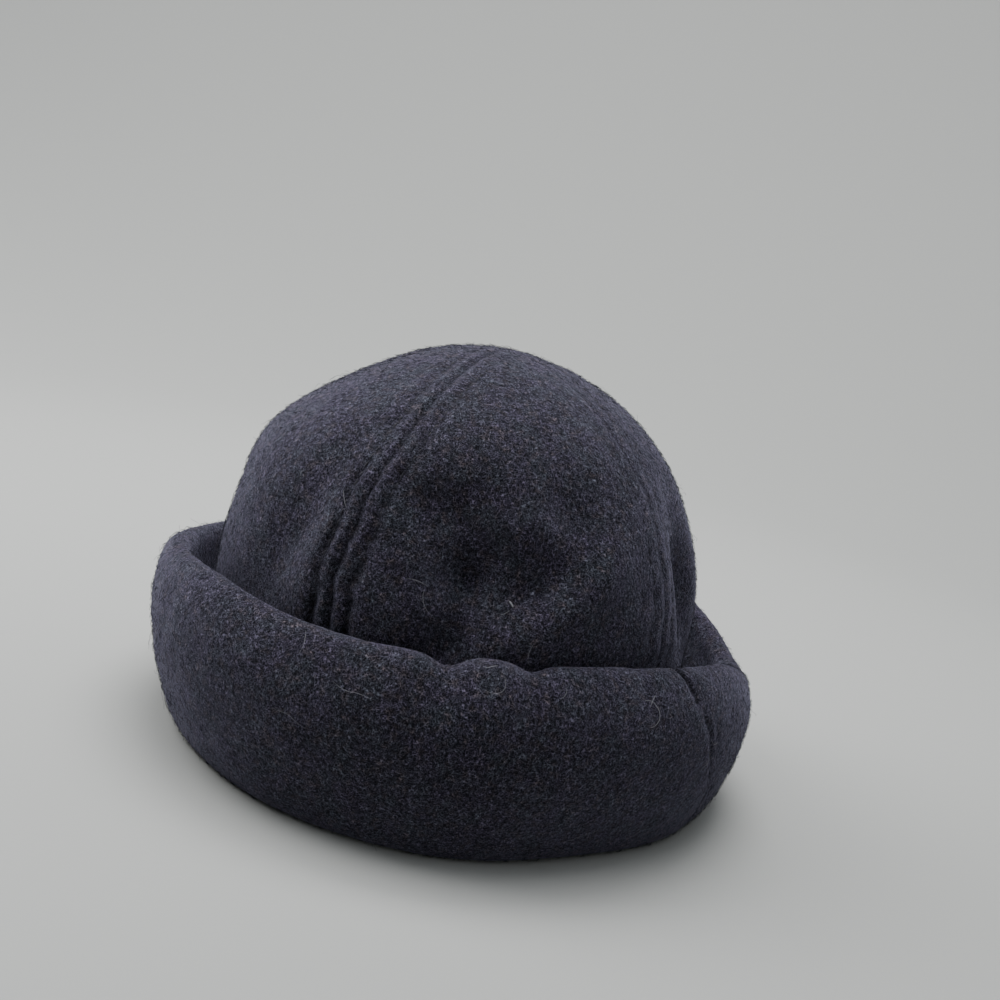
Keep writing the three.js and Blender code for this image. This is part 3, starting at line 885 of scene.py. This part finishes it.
# Lint: pale hairs that have settled on the wool. A hair starts at a turn and a height and runs its length
# over the cloth. Heading is in degrees, 0 towards the right and 90 up, and curl is how many degrees it bends
# in a millimetre. A row gives the cloth it lies on, turn, height, heading, length, curl and thickness.
lint = {
    "colour": (0.27, 0.27, 0.3, 1), "darkShare": 0.55, "mottleScale": 600.0,
    "roughness": 0.6, "specular": 0.2,
    "thickness": 0.12, "endThickness": 0.4, "rest": 0.12, "lift": 0.7, "fullLiftLength": 8, "step": 0.8,
    "wobble": 14, "wobbleScale": 400,
}
lintHairs = [
    ("crown", -9.3, 111.6, -58, 7.5, 0, 0.12),
    ("crown", 11.9, 90.7, 12, 8, -5, 0.12),
    ("crown", 16, 88, -115, 11, 8, 0.12),
    ("crown", 40, 79, -115, 9, 6, 0.12),
    ("crown", -23, 113, 200, 5, 28, 0.12),
    ("crown", 35, 86.5, -90, 4, -20, 0.12),
    ("cuff", 30.5, 70.5, 8, 5, -2, 0.2),
    ("cuff", 34, 69.5, -40, 12, -13, 0.12),
    ("cuff", 5.5, 57, -12, 15, 0.5, 0.09),
    ("cuff", -3.2, 67.5, -48, 9, -2, 0.12),
    ("cuff", -4, 42, -2, 14, 0.5, 0.09),
    ("cuff", 65, 66, 190, 5, 14, 0.24),
    ("cuff", 62.4, 64.6, 20, 14, -11, 0.24),
    ("cuff", 80.5, 48, -60, 6, 8, 0.12),
    ("cuff", 79.6, 44.5, -50, 10, -4, 0.12),
    ("cuff", 46, 68, -80, 5, -9, 0.12),
    ("cuff", 60, 16, 185, 14, 1, 0.09),
    ("crown", 34.9, 88.9, -45, 0.9, 0, 0.7),
]


def surfaceUnder(pieces):
    found = []
    for piece in pieces:
        mesh = piece.data
        found.append(BVHTree.FromPolygons([v.co for v in mesh.vertices], [p.vertices for p in mesh.polygons]))
    return found


def nearestOn(surfaces, point):
    hits = [surface.find_nearest(point) for surface in surfaces]
    return min(hits, key=lambda hit: hit[3])


# Points of a hair over the cloth, each lifted off it
def hairPath(surfaces, turn, z, heading, length, curl):
    start = Vector(placed(turn, 200.0, z))
    inward = Vector((axisX * mm, axisY * mm, start.z)) - start
    hits = [hit for hit in (surface.ray_cast(start, inward) for surface in surfaces) if hit[0]]
    place, normal = min(hits, key=lambda hit: hit[3])[:2]
    count = max(3, round(length / lint["step"]))
    points = []
    for k in range(count + 1):
        arch = math.sin(math.pi * k / count) * min(1, length / lint["fullLiftLength"])
        lift = lint["rest"] + lint["lift"] * arch
        points.append(place + normal * lift * mm)
        right = Vector((0, 0, 1)).cross(normal).normalized()
        up = normal.cross(right)
        heading += curl * lint["step"] + lint["wobble"] * noise.noise(place * lint["wobbleScale"])
        angle = math.radians(heading)
        ahead = place + (right * math.cos(angle) + up * math.sin(angle)) * lint["step"] * mm
        place, normal = nearestOn(surfaces, ahead)[:2]
    return points


def layLint():
    surfaces = {"crown": surfaceUnder(panels), "cuff": surfaceUnder([cuffCloth])}
    curve = bpy.data.curves.new("lint", "CURVE")
    curve.dimensions = "3D"
    curve.bevel_depth = lint["thickness"] / 2 * mm
    curve.bevel_resolution = 1
    curve.use_fill_caps = True
    for carrier, *path, thickness in lintHairs:
        points = hairPath(surfaces[carrier], *path)
        spline = curve.splines.new("POLY")
        spline.points.add(len(points) - 1)
        full = thickness / lint["thickness"]
        for k, point in enumerate(points):
            spline.points[k].co = (*point, 1)
            swell = math.sin(math.pi * (k + 0.5) / len(points))
            spline.points[k].radius = full * (lint["endThickness"] + (1 - lint["endThickness"]) * swell)
    strung = bpy.data.objects.new("lint", curve)
    mesh = bpy.data.meshes.new_from_object(strung)
    bpy.data.objects.remove(strung)
    mesh.name = "lint_hairs"
    mesh.materials.append(makeLintMaterial())
    mesh.shade_smooth()
    piece = intoScene("lint_hairs", mesh)
    return piece


def makeLintMaterial():
    material, tree, shader = newMaterial("paleLint", {
        "Roughness": lint["roughness"], "Specular IOR Level": lint["specular"]})
    place = addNode(tree, "ShaderNodeTexCoord").outputs["Object"]
    faint = noiseAt(tree, place, lint["mottleScale"], 1.0)
    shade = [lint["darkShare"] * value for value in lint["colour"][:3]] + [1]
    tree.links.new(mixColour(tree, faint.outputs[0], shade, lint["colour"]), shader.inputs["Base Color"])
    return material


lintPiece = layLint()
print("lint laid:", len(lintPiece.data.polygons), "faces")

# Pieces ride on the hat's one body and stand for the plain solids.
for k, node in enumerate(panelNodes):
    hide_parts(node)
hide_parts("cuff_band")
for piece in [*panels, cuffCloth, *allFibres, *stitches, lintPiece]:
    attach(piece, "root")

# Studio: a pale dish that curves up all round, soft lights, and the camera
studio = {
    "flatRadius": 700, "bendRadius": 900, "wallHeight": 900, "segments": 96, "bendSteps": 24,
    "paper": (0.34, 0.344, 0.334, 1), "world": (0.75, 0.78, 0.82, 1), "worldStrength": 1.42,
}
lights = [
    {"name": "keyLight", "turn": -75, "lift": 43, "distance": 1000, "size": 700, "power": 9.5},
    {"name": "topLight", "turn": 0, "lift": 88, "distance": 1000, "size": 700, "power": 7},
    {"name": "backdropLight", "turn": 202.5, "lift": 70, "distance": 1100, "size": 900, "power": 16,
     "reach": 1400},
]
camera = {
    "turn": 22.5, "distance": 477.1, "height": 203.5, "lens": 43.77,
    "right": (0.9776, 0.0229, 0.2092), "forward": (0.0204, 0.9791, -0.2026),
}


def makeStudio():
    profile = [(0.0, 0.0), (studio["flatRadius"], 0.0)]
    for k in range(1, studio["bendSteps"] + 1):
        angle = math.pi / 2 * k / studio["bendSteps"]
        profile.append((studio["flatRadius"] + studio["bendRadius"] * math.sin(angle),
                        studio["bendRadius"] * (1 - math.cos(angle))))
    profile.append((profile[-1][0], profile[-1][1] + studio["wallHeight"]))
    count = studio["segments"]
    points = [(0, 0, 0)]
    for radius, z in profile[1:]:
        for j in range(count):
            angle = 2 * math.pi * j / count
            points.append((radius * math.cos(angle) * mm, radius * math.sin(angle) * mm, z * mm))
    faces = [(0, 1 + j, 1 + (j + 1) % count) for j in range(count)]
    for i in range(len(profile) - 2):
        low, high = 1 + i * count, 1 + (i + 1) * count
        faces += [(low + j, high + j, high + (j + 1) % count, low + (j + 1) % count) for j in range(count)]
    mesh = bpy.data.meshes.new("studioDish")
    mesh.from_pydata(points, [], faces)
    mesh.shade_smooth()
    dish = intoScene("studioDish", mesh)
    material, tree, shader = newMaterial("studioPaper", {"Roughness": 0.9, "Base Color": studio["paper"]})
    mesh.materials.append(material)
    world = bpy.data.worlds.new("studioWorld")
    world.use_nodes = True
    world.node_tree.nodes["Background"].inputs["Color"].default_value = studio["world"]
    world.node_tree.nodes["Background"].inputs["Strength"].default_value = studio["worldStrength"]
    bpy.context.scene.world = world


# Each light looks at the hat, or at a place at its reach beyond it
def makeLights():
    hat = Vector((axisX, axisY, 80)) * mm
    for row in lights:
        light = bpy.data.lights.new(row["name"], "AREA")
        light.shape = "DISK"
        light.size = row["size"] * mm
        light.energy = row["power"]
        lamp = intoScene(row["name"], light)
        turn, lift = math.radians(row["turn"]), math.radians(row["lift"])
        outward = Vector((math.sin(turn), -math.cos(turn), 0))
        away = outward * math.cos(lift) + Vector((0, 0, math.sin(lift)))
        lamp.location = hat + away * row["distance"] * mm
        seen = hat + outward * row.get("reach", 0) * mm
        lamp.rotation_euler = (lamp.location - seen).to_track_quat("Z", "Y").to_euler()


def makeCamera():
    data = bpy.data.cameras.new("camera")
    data.sensor_width = 36
    data.lens = camera["lens"]
    viewer = intoScene("camera", data)
    round_ = Matrix.Rotation(math.radians(camera["turn"]), 3, "Z")
    right = (round_ @ Vector(camera["right"])).normalized()
    forward = (round_ @ Vector(camera["forward"])).normalized()
    up = right.cross(forward)
    place = round_ @ Vector((0, -camera["distance"], camera["height"])) + Vector((axisX, axisY, 0))
    viewer.matrix_world = Matrix.Translation(place * mm) @ Matrix((right, up, -forward)).transposed().to_4x4()
    data.clip_start = 0.01
    bpy.context.scene.camera = viewer


makeStudio()
makeLights()
makeCamera()
print("studio made")
